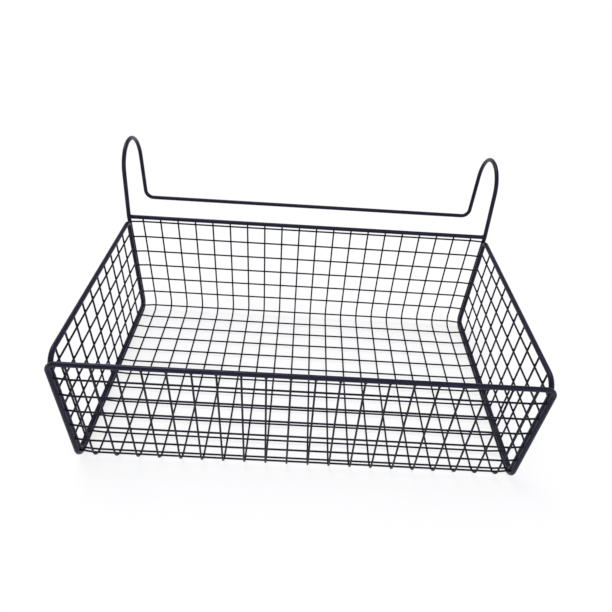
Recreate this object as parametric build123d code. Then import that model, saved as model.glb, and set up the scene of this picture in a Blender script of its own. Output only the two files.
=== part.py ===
"""Hook-on wire basket: a bent frame wire with a hanger, a back bar, two side frames and a welded mesh."""
import os
from math import sqrt

from build123d import *

# Wires (mm)
frame_dia = 4.5  # frame wire, back bar and side frames
mesh_dia = 1.8  # every wire of the mesh
weld_depth = 0.04  # how far two crossing mesh wires sink into each other
seam_depth = 0.02  # how far frame wire and side frame sink into each other, side by side

# Basket body, between centre lines of the frame wire
body_width = 411.0
body_depth = 232.0
back_height = 129.5  # floor edge to back bar
front_height = 124.5  # floor edge to front bar
side_height = 125.5  # floor edge to the side frames' top rails
bend_radius = 12.0  # front and back of the floor
front_corner_radius = 8.0  # frame wire, leg to front bar
side_front_radius = 15.0  # side frames, front leg to top rail
side_back_radius = 6.0  # side frames, back leg to top rail

# Hanger
hanger_gap = 71.5  # back bar to crossbar, front to back
crossbar_drop = 11.0  # crossbar below the back bar
crossbar_corner_radius = 9.0
hook_rise = 74.0  # top of the hooks above the back bar
hook_lean = 14.0  # how far back the rising leg has gone at the top
hook_flare = 2.0  # how far the falling leg's top stands behind the crossbar
hook_roundness = 0.52  # hook radius over the hook's span
lean_radius = 20.0  # bend where the back leg starts to lean

# Mesh: number of wires, and the room left beside the first and last
long_count = 20
long_side_gap = 15.5
back_rows = 7
back_low_gap = 4.5
back_high_gap = 5.0
floor_rows = 11
floor_front_gap = 9.5
floor_back_gap = 22.5
front_rows = 6
front_low_gap = 6.0
front_high_gap = 18.5
step_in_start = 2.0  # a cross wire starts to step in this far past the last long wire
step_in_radius = 6.0
tip_share = 0.45  # a cross wire's tip stops this share of the frame wire's radius from its centre line
upright_count = 10
upright_front_gap = 21.0
upright_back_gap = 26.5
rail_count = 6
rail_low_gap = 10.0
rail_high_gap = 13.5

# Sizes that follow
frame_r = frame_dia / 2
mesh_r = mesh_dia / 2
half_width = body_width / 2
half_layer = (mesh_dia - weld_depth) / 2  # each mesh layer's centres stand this far off the frame's
nest = frame_dia - seam_depth  # between the centres of frame wire and side frame
floor_z = frame_r  # floor edges above the surface the basket stands on
front_bar_z = floor_z + front_height
back_bar_z = floor_z + back_height


def spread(first, last, count):
    """Evenly spaced values from first to last."""
    return [first + (last - first) * i / (count - 1) for i in range(count)]


def set_off(along, radius, inset):
    """How far a line set inside a leg stands off it, at a distance along from a rounded corner."""
    if along >= radius:
        return inset
    return radius - sqrt((radius - inset) ** 2 - (radius - along) ** 2)


def round_wire(path, diameter):
    """A round wire along a path."""
    return sweep(Plane(origin=path @ 0, z_dir=path % 0) * Circle(diameter / 2), path=path)


# Frame wire: one closed wire, made as a right half and its mirror image
crossbar_y = body_depth + hanger_gap
crossbar_z = back_bar_z - crossbar_drop
hook_z = back_bar_z + hook_rise
hook_front_y = body_depth + hook_lean
hook_back_y = crossbar_y + hook_flare
hook_radius = hook_roundness * (hook_back_y - hook_front_y)
half_loop = FilletPolyline(
    (0, crossbar_y, crossbar_z),
    (half_width, crossbar_y, crossbar_z),
    (half_width, hook_back_y, hook_z),
    (half_width, hook_front_y, hook_z),
    (half_width, body_depth, back_bar_z),
    (half_width, body_depth, floor_z),
    (half_width, 0, floor_z),
    (half_width, 0, front_bar_z),
    (0, 0, front_bar_z),
    radius=[
        crossbar_corner_radius,
        hook_radius,
        hook_radius,
        lean_radius,
        bend_radius,
        bend_radius,
        front_corner_radius,
    ],
)
half_frame = round_wire(half_loop, frame_dia)
frame_wire = half_frame + mirror(half_frame, about=Plane.YZ)

# Back bar: its ends are cut to the curve of the back legs they are welded to
bar_half = half_width - frame_r / 2
bar_line = Line((-bar_half, body_depth, back_bar_z), (bar_half, body_depth, back_bar_z))
back_bar = round_wire(bar_line, frame_dia) - frame_wire

# Side frames: closed loops nested inside the frame wire, each made as a front and a back half
side_front_y = nest
side_back_y = body_depth - nest
side_low_z = floor_z + nest
side_high_z = floor_z + side_height
nested_radius = bend_radius - nest
middle_y = body_depth / 2


def side_half(x, leg_y, top_radius):
    """Half of a side frame, from the middle of its floor wire round one leg to the top rail."""
    path = FilletPolyline(
        (x, middle_y, side_low_z),
        (x, leg_y, side_low_z),
        (x, leg_y, side_high_z),
        (x, middle_y, side_high_z),
        radius=[nested_radius, top_radius],
    )
    return round_wire(path, frame_dia)


def side_frame(x):
    """The closed loop on one side."""
    return side_half(x, side_front_y, side_front_radius) + side_half(x, side_back_y, side_back_radius)


left_frame = side_frame(-half_width)
right_frame = side_frame(half_width)


# Long wires: the outer layer, bent into a U, their ends cut to the curve of the bars above them
def long_wire(x):
    """One wire up the back, across the floor and up the front."""
    path = FilletPolyline(
        (x, body_depth + half_layer, back_bar_z),
        (x, body_depth + half_layer, floor_z - half_layer),
        (x, -half_layer, floor_z - half_layer),
        (x, -half_layer, front_bar_z),
        radius=bend_radius + half_layer,
    )
    return round_wire(path, mesh_dia) - back_bar - frame_wire


long_x = spread(-half_width + long_side_gap, half_width - long_side_gap, long_count)

# Cross wires: the inner layer, their ends stepping in between frame wire and side frame
kink_x = long_x[-1] + step_in_start
tip_x = half_width - tip_share * frame_r


def cross_wire(middle, end):
    """One wire across the basket, its middle and its ends at given (y, z)."""
    path = FilletPolyline(
        (-tip_x, *end),
        (-kink_x, *middle),
        (kink_x, *middle),
        (tip_x, *end),
        radius=step_in_radius,
    )
    return round_wire(path, mesh_dia) - frame_wire - left_frame - right_frame


def back_wire(height):
    """A cross wire of the back, at a height above the floor edges."""
    middle, end = (body_depth - set_off(height, bend_radius, inset) for inset in (half_layer, frame_r))
    return cross_wire((middle, floor_z + height), (end, floor_z + height))


def floor_wire(y):
    """A cross wire of the floor."""
    along = min(y, body_depth - y)
    middle, end = (floor_z + set_off(along, bend_radius, inset) for inset in (half_layer, frame_r))
    return cross_wire((y, middle), (y, end))


def front_wire(height):
    """A cross wire of the front, at a height above the floor edges."""
    middle, end = (set_off(height, bend_radius, inset) for inset in (half_layer, frame_r))
    return cross_wire((middle, floor_z + height), (end, floor_z + height))


back_heights = spread(back_low_gap, back_height - back_high_gap, back_rows)
floor_y = spread(floor_front_gap, body_depth - floor_back_gap, floor_rows)
front_heights = spread(front_low_gap, front_height - front_high_gap, front_rows)


# Side mesh: uprights on the outside, rails on the inside, their ends cut to the side frame's curve
def side_upright(x, y, frame):
    """An upright from a side frame's floor wire to its top rail."""
    if y < middle_y:
        along, radius = y - side_front_y, side_front_radius
    else:
        along, radius = side_back_y - y, side_back_radius
    top_z = side_high_z - set_off(along, radius, 0)
    return round_wire(Line((x, y, side_low_z), (x, y, top_z)), mesh_dia) - frame


def side_rail(x, height, frame):
    """A rail from a side frame's front leg to its back leg."""
    z = floor_z + height
    front_y = side_front_y + set_off(side_high_z - z, side_front_radius, 0)
    back_y = side_back_y - set_off(side_high_z - z, side_back_radius, 0)
    return round_wire(Line((x, front_y, z), (x, back_y, z)), mesh_dia) - frame


upright_y = spread(upright_front_gap, body_depth - upright_back_gap, upright_count)
rail_heights = spread(rail_low_gap, side_height - rail_high_gap, rail_count)

# Every node
nodes = {
    "frame_wire": frame_wire,
    "back_bar": back_bar,
    "side_frame_left": left_frame,
    "side_frame_right": right_frame,
}
for name, side, frame in (("left", -1, left_frame), ("right", 1, right_frame)):
    outer_x = side * (half_width + half_layer)
    inner_x = side * (half_width - half_layer)
    nodes[f"side_uprights_{name}"] = Compound([side_upright(outer_x, y, frame) for y in upright_y])
    nodes[f"side_rails_{name}"] = Compound([side_rail(inner_x, z, frame) for z in rail_heights])
for i, x in enumerate(long_x, start=1):
    nodes[f"long_wire_{i:02d}"] = long_wire(x)
for i, height in enumerate(back_heights, start=1):
    nodes[f"back_wire_{i:02d}"] = back_wire(height)
for i, y in enumerate(floor_y, start=1):
    nodes[f"floor_wire_{i:02d}"] = floor_wire(y)
for i, height in enumerate(front_heights, start=1):
    nodes[f"front_wire_{i:02d}"] = front_wire(height)

# Origin: on the surface the basket stands on, midway between its front and the back of its hooks
boxes = [node.bounding_box() for node in nodes.values()]
front_most = min(box.min.Y for box in boxes)
back_most = max(box.max.Y for box in boxes)
to_origin = Location((0, -(front_most + back_most) / 2, 0))

os.makedirs("parts", exist_ok=True)
for name, node in nodes.items():
    export_step(to_origin * node, f"parts/{name}.step")
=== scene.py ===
"""Looks for the hook-on wire basket: studio, camera, powder coat and weld fillets."""
import math
import random

import bmesh
import bpy
from mathutils import Matrix, Vector


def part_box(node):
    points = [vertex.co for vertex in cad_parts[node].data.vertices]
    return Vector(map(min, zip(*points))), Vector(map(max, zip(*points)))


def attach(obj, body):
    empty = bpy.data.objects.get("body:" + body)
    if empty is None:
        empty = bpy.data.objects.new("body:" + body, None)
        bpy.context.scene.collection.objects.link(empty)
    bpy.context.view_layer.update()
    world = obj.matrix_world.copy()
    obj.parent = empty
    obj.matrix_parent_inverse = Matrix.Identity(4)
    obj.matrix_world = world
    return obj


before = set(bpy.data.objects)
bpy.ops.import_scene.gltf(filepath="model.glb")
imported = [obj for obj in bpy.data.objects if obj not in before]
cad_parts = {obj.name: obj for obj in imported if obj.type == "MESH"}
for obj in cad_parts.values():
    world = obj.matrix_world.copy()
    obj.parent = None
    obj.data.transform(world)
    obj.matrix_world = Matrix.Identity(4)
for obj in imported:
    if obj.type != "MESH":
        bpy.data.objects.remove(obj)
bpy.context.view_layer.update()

MM = 0.001
MESH_R = 0.9 * MM  # mesh wire
BEND_R = 12.88 * MM  # centre line of a long wire's bends

# Camera: where it looks, from how far, and its lens
AIM = Vector((1.9 * MM, 0.0, 78.66 * MM))
DISTANCE = 0.5562
AZIMUTH = -1.591  # degrees, to the left of straight in front
ELEVATION = 38.424
ROLL = 4.156
LENS = 29.87  # mm on a 36 mm sensor


def add_camera():
    """The camera, turned by its roll about its own axis."""
    azimuth, elevation = math.radians(AZIMUTH), math.radians(ELEVATION)
    forward = Vector((
        -math.sin(azimuth) * math.cos(elevation),
        math.cos(azimuth) * math.cos(elevation),
        -math.sin(elevation),
    ))
    right = Vector((math.cos(azimuth), math.sin(azimuth), 0.0))
    up = right.cross(forward)
    turn = Matrix.Rotation(-math.radians(ROLL), 3, forward)
    axes = [turn @ v for v in (right, up, -forward)]
    data = bpy.data.cameras.new("camera")
    data.lens = LENS
    data.sensor_width = 36.0
    data.clip_start = 0.01
    camera = bpy.data.objects.new("camera", data)
    bpy.context.collection.objects.link(camera)
    place = Matrix(axes).transposed().to_4x4()
    place.translation = AIM - forward * DISTANCE
    camera.matrix_world = place
    bpy.context.scene.camera = camera


add_camera()


# Studio: a soft overhead light, a softer fill, white all round the horizon
def add_sun(name, azimuth, elevation, strength, spread):
    """A distant light with soft edges; the angles are where it stands, in degrees."""
    data = bpy.data.lights.new(name, "SUN")
    data.energy = strength
    data.angle = math.radians(spread)
    light = bpy.data.objects.new(name, data)
    bpy.context.collection.objects.link(light)
    across, height = math.radians(azimuth), math.radians(elevation)
    stand = Vector((
        math.sin(across) * math.cos(height),
        -math.cos(across) * math.cos(height),
        math.sin(height),
    ))
    light.rotation_euler = stand.to_track_quat("Z", "Y").to_euler()


add_sun("overhead_light", -140.0, 66.0, 1.5, 36.0)
add_sun("fill_light", 35.0, 50.0, 0.7, 70.0)


def add_world():
    """White low in the sky, greyer overhead, so that the dark wires have something to reflect."""
    world = bpy.data.worlds.new("studio")
    bpy.context.scene.world = world
    world.use_nodes = True
    tree = world.node_tree
    place = tree.nodes.new("ShaderNodeTexCoord")
    parts = tree.nodes.new("ShaderNodeSeparateXYZ")
    ramp = tree.nodes.new("ShaderNodeValToRGB")
    ramp.color_ramp.elements[0].position = 0.3
    ramp.color_ramp.elements[0].color = (1.0, 1.0, 1.0, 1.0)
    ramp.color_ramp.elements[1].position = 0.66
    ramp.color_ramp.elements[1].color = (0.33, 0.34, 0.42, 1.0)
    tree.links.new(place.outputs["Generated"], parts.inputs["Vector"])
    tree.links.new(parts.outputs["Z"], ramp.inputs["Fac"])
    tree.links.new(ramp.outputs["Color"], tree.nodes["Background"].inputs["Color"])
    bpy.context.scene.view_settings.view_transform = "Standard"


add_world()
FLOOR_HALF = 60.0
FLOOR_Z = -0.2 * MM  # just under the basket's lowest point
FLOOR_GREY = (0.22, 0.22, 0.22, 1.0)
FLOOR_GLOW = 0.78


def add_floor():
    """A wide pale floor just under the basket, bright enough to keep the shadows faint."""
    mesh = bpy.data.meshes.new("floor")
    build = bmesh.new()
    square = ((-1, -1), (1, -1), (1, 1), (-1, 1))
    build.faces.new([build.verts.new((x * FLOOR_HALF, y * FLOOR_HALF, FLOOR_Z)) for x, y in square])
    build.to_mesh(mesh)
    build.free()
    floor = bpy.data.objects.new("floor", mesh)
    bpy.context.collection.objects.link(floor)
    material = bpy.data.materials.new("floor_paper")
    material.use_nodes = True
    shader = material.node_tree.nodes["Principled BSDF"]
    shader.inputs["Base Color"].default_value = FLOOR_GREY
    shader.inputs["Roughness"].default_value = 0.95
    shader.inputs["Specular IOR Level"].default_value = 0.0
    shader.inputs["Emission Color"].default_value = (1.0, 1.0, 1.0, 1.0)
    shader.inputs["Emission Strength"].default_value = FLOOR_GLOW
    mesh.materials.append(material)


add_floor()


# Powder coat: scales of its noises, and how strong its orange peel is
FILM_SCALE = 140.0
RUB_SCALE = 75.0
SHEEN_SCALE = 420.0
PEEL_STRENGTH = 0.6
PEEL_HEIGHT = 0.12 * MM
RUB_COLOUR = (0.022, 0.022, 0.034, 1.0)
MIX_FACTOR, MIX_FIRST, MIX_SECOND, MIX_RESULT = 0, 6, 7, 2  # colour sockets of the Mix node


def powder_coat(name, grain, base, shine):
    """Dark navy powder coat with orange peel, an uneven film and faint rub marks."""
    material = bpy.data.materials.new(name)
    material.use_nodes = True
    tree = material.node_tree
    shader = tree.nodes["Principled BSDF"]
    shader.inputs["Specular IOR Level"].default_value = shine
    place = tree.nodes.new("ShaderNodeTexCoord")

    def noise(scale, detail):
        node = tree.nodes.new("ShaderNodeTexNoise")
        node.inputs["Scale"].default_value = scale
        node.inputs["Detail"].default_value = detail
        tree.links.new(place.outputs["Object"], node.inputs["Vector"])
        return node.outputs["Fac"]

    def ramp(value, stops):
        node = tree.nodes.new("ShaderNodeValToRGB")
        node.color_ramp.elements[0].position, node.color_ramp.elements[0].color = stops[0]
        node.color_ramp.elements[1].position, node.color_ramp.elements[1].color = stops[-1]
        for position, colour in stops[1:-1]:
            node.color_ramp.elements.new(position).color = colour
        tree.links.new(value, node.inputs["Fac"])
        return node.outputs["Color"]

    def grey(v):
        return (v, v, v, 1.0)

    dark = (base[0] * 0.75, base[1] * 0.75, base[2] * 0.72, 1.0)
    mid = (*base, 1.0)
    light = (base[0] * 1.5, base[1] * 1.5, base[2] * 1.45, 1.0)
    film = ramp(noise(FILM_SCALE, 5.0), [(0.3, dark), (0.5, mid), (0.72, light)])
    # Rub marks and dust: sparse, small and only a little paler than the coat
    rubbed = ramp(noise(RUB_SCALE, 8.0), [(0.62, grey(0.0)), (0.76, grey(1.0))])
    colour = tree.nodes.new("ShaderNodeMix")
    colour.data_type = "RGBA"
    colour.inputs[MIX_SECOND].default_value = RUB_COLOUR
    tree.links.new(rubbed, colour.inputs[MIX_FACTOR])
    tree.links.new(film, colour.inputs[MIX_FIRST])
    tree.links.new(colour.outputs[MIX_RESULT], shader.inputs["Base Color"])
    rough = ramp(noise(SHEEN_SCALE, 4.0), [(0.3, grey(0.26)), (0.7, grey(0.4))])
    tree.links.new(rough, shader.inputs["Roughness"])
    bump = tree.nodes.new("ShaderNodeBump")
    bump.inputs["Strength"].default_value = PEEL_STRENGTH
    bump.inputs["Distance"].default_value = PEEL_HEIGHT
    tree.links.new(noise(grain, 3.0), bump.inputs["Height"])
    tree.links.new(bump.outputs["Normal"], shader.inputs["Normal"])
    return material


frame_coat = powder_coat("frame_coat", 1700.0, (0.0039, 0.0034, 0.0190), 0.22)
mesh_coat = powder_coat("mesh_coat", 2200.0, (0.0036, 0.0032, 0.0135), 0.16)
THICK = ("frame_wire", "back_bar", "side_frame_left", "side_frame_right")
for name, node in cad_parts.items():
    for slot in node.material_slots:
        slot.material = frame_coat if name in THICK else mesh_coat


# Weld fillets: where the coat has run over the welds, one mesh for each group of joints
SIDES = 12  # of each lump
RINGS = 6
UPRIGHTS = 10  # on each side
RAILS = 6
HALF_LAYER = 0.88 * MM  # from either wire's centre line to the middle of a crossing
FRONT_BAR_Z = 126.75 * MM
UNDER_BAR = 2.1 * MM  # a long wire's end below the centre line of its bar
END_IN = 0.7 * MM  # from the tip of a side wire to the middle of its weld
NIP_IN = 0.9 * MM  # from the tip of a cross wire
COLLAR_IN = 1.2 * MM  # from the end of the back bar
# Half sizes of the lumps; the last is across the joint
MESH_LUMP = (1.15 * MM, 1.15 * MM, 0.6 * MM)
END_LUMP = (1.22 * MM, 1.3 * MM, 0.8 * MM)
BAR_LUMP = (1.5 * MM, 1.22 * MM, 0.95 * MM)
NIP_LUMP = (1.5 * MM, 1.2 * MM, 1.2 * MM)
COLLAR_LUMP = (2.75 * MM, 2.75 * MM, 1.3 * MM)
TOP_LUMP = (1.3 * MM, 1.9 * MM, 0.75 * MM)
TOP_FROM_COLLAR = (0.6 * MM, -0.5 * MM, 2.1 * MM)  # inwards along the bar, forwards, up


def nugget(build, centre, axes, half):
    """A closed rounded lump: half sizes along three axes that stand square to each other."""
    rows = []
    for ring in range(1, RINGS):
        tilt = math.pi * ring / RINGS
        row = []
        for side in range(SIDES):
            turn = 2.0 * math.pi * side / SIDES
            way = (math.sin(tilt) * math.cos(turn), math.sin(tilt) * math.sin(turn), math.cos(tilt))
            offset = sum((axes[i] * (half[i] * way[i]) for i in range(3)), Vector())
            row.append(build.verts.new(centre + offset))
        rows.append(row)
    ends = [build.verts.new(centre + axes[2] * (half[2] * sign)) for sign in (1.0, -1.0)]
    for side in range(SIDES):
        near, far = side, (side + 1) % SIDES
        build.faces.new((ends[0], rows[0][near], rows[0][far]))
        build.faces.new((ends[1], rows[-1][far], rows[-1][near]))
        for upper, lower in zip(rows[:-1], rows[1:]):
            build.faces.new((upper[near], lower[near], lower[far], upper[far]))


def welds(name, joints, material):
    """One piece holding a group of weld lumps, none quite like the next."""
    build = bmesh.new()
    dice = random.Random(len(joints))
    for centre, axes, half in joints:
        nugget(build, centre, axes, [size * dice.uniform(0.88, 1.1) for size in half])
    bmesh.ops.recalc_face_normals(build, faces=build.faces)
    for face in build.faces:
        face.smooth = True
    mesh = bpy.data.meshes.new(name)
    build.to_mesh(mesh)
    build.free()
    mesh.materials.append(material)
    piece = bpy.data.objects.new(name, mesh)
    bpy.context.collection.objects.link(piece)
    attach(piece, "root")


X, Y, Z = Vector((1, 0, 0)), Vector((0, 1, 0)), Vector((0, 0, 1))


def evenly(first, last, count):
    """Evenly spaced values from first to last."""
    return [first + (last - first) * i / (count - 1) for i in range(count)]


def middle(node):
    """The middle of a node's box."""
    low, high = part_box(node)
    return (Vector(low) + Vector(high)) / 2


def group(prefix):
    """The nodes of one kind, in order."""
    return sorted(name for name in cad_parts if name.startswith(prefix))


long_low, long_high = (Vector(v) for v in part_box("long_wire_01"))
long_x = [middle(name).x for name in group("long_wire_")]
FRONT_Y = long_low.y + MESH_R  # centre lines of the long wires' legs and floor run
BACK_Y = long_high.y - MESH_R
LOW_Z = long_low.z + MESH_R


def onto_long_wire(y, z):
    """The nearest point of a long wire's centre line, and the direction from there inwards."""
    bend_z = LOW_Z + BEND_R
    for bend_y, beyond in ((FRONT_Y + BEND_R, y < FRONT_Y + BEND_R), (BACK_Y - BEND_R, y > BACK_Y - BEND_R)):
        if beyond and z < bend_z:
            inward = Vector((0, bend_y - y, bend_z - z)).normalized()
            return Vector((0, bend_y, bend_z)) - inward * BEND_R, inward
    if z >= bend_z:
        return (Vector((0, FRONT_Y, z)), Y) if y < 0 else (Vector((0, BACK_Y, z)), -Y)
    return Vector((0, y, LOW_Z)), Z


def cross_joints(prefix):
    """Welds where the cross wires of one panel lie on the long wires."""
    joints = []
    for name in group(prefix):
        low, high = (Vector(v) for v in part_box(name))
        if prefix == "floor_wire_":
            y, z = (low.y + high.y) / 2, low.z + MESH_R
        elif prefix == "back_wire_":
            y, z = high.y - MESH_R, (low.z + high.z) / 2
        else:
            y, z = low.y + MESH_R, (low.z + high.z) / 2
        foot, inward = onto_long_wire(y, z)
        along = inward.cross(X)
        for x in long_x:
            centre = foot + inward * HALF_LAYER + X * x
            joints.append((centre, (X, along, inward), MESH_LUMP))
    return joints


def side_joints(side):
    """Welds of one side: where uprights and rails cross, and their ends on the side frame."""
    uprights, rails = (f"side_{kind}_{side}" for kind in ("uprights", "rails"))
    up_low, up_high = (Vector(v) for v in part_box(uprights))
    rail_low, rail_high = (Vector(v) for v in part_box(rails))
    up_x, rail_x = middle(uprights).x, middle(rails).x
    up_y = evenly(up_low.y + MESH_R, up_high.y - MESH_R, UPRIGHTS)
    rail_z = evenly(rail_low.z + MESH_R, rail_high.z - MESH_R, RAILS)
    between = (up_x + rail_x) / 2
    joints = [(Vector((between, y, z)), (Y, Z, X), MESH_LUMP) for y in up_y for z in rail_z]
    for y in up_y:
        for z in (up_low.z + END_IN, up_high.z - END_IN):
            joints.append((Vector((up_x, y, z)), (X, Y, Z), END_LUMP))
    for z in rail_z:
        for y in (rail_low.y + END_IN, rail_high.y - END_IN):
            joints.append((Vector((rail_x, y, z)), (X, Z, Y), END_LUMP))
    return joints


def long_end_joints():
    """Welds of the long wires' ends under the back bar and the front bar."""
    bar = middle("back_bar")
    joints = []
    for x in long_x:
        for y, bar_z in ((BACK_Y, bar.z), (FRONT_Y, FRONT_BAR_Z)):
            joints.append((Vector((x, y, bar_z - UNDER_BAR)), (X, Y, Z), BAR_LUMP))
    return joints


def nip_joints():
    """Welds of the cross wires' ends, pinched between the frame wire and a side frame."""
    joints = []
    for name in group("back_wire_") + group("floor_wire_") + group("front_wire_"):
        low, high = (Vector(v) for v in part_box(name))
        centre = (low + high) / 2
        if name.startswith("back"):
            centre.y = low.y + MESH_R
        elif name.startswith("floor"):
            centre.z = high.z - MESH_R
        else:
            centre.y = high.y - MESH_R
        for side in (-1, 1):
            centre.x = side * (high.x - NIP_IN)
            joints.append((centre.copy(), (X, Y, Z), NIP_LUMP))
    return joints


def bar_end_joints():
    """Welds at the back bar's two ends: a collar, and the bump on top where each weld was finished."""
    low, high = (Vector(v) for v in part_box("back_bar"))
    centre = (low + high) / 2
    joints = []
    for side in (-1, 1):
        end = Vector((side * (high.x - COLLAR_IN), centre.y, centre.z))
        joints.append((end, (Y, Z, X), COLLAR_LUMP))
        inwards, across, up = TOP_FROM_COLLAR
        joints.append((end + Vector((-side * inwards, across, up)), (Y, X, Z), TOP_LUMP))
    return joints


welds("welds_back_mesh", cross_joints("back_wire_"), mesh_coat)
welds("welds_floor_mesh", cross_joints("floor_wire_"), mesh_coat)
welds("welds_front_mesh", cross_joints("front_wire_"), mesh_coat)
welds("welds_side_left", side_joints("left"), mesh_coat)
welds("welds_side_right", side_joints("right"), mesh_coat)
welds("welds_long_wire_ends", long_end_joints(), frame_coat)
welds("welds_cross_wire_ends", nip_joints(), frame_coat)
welds("welds_back_bar_ends", bar_end_joints(), frame_coat)
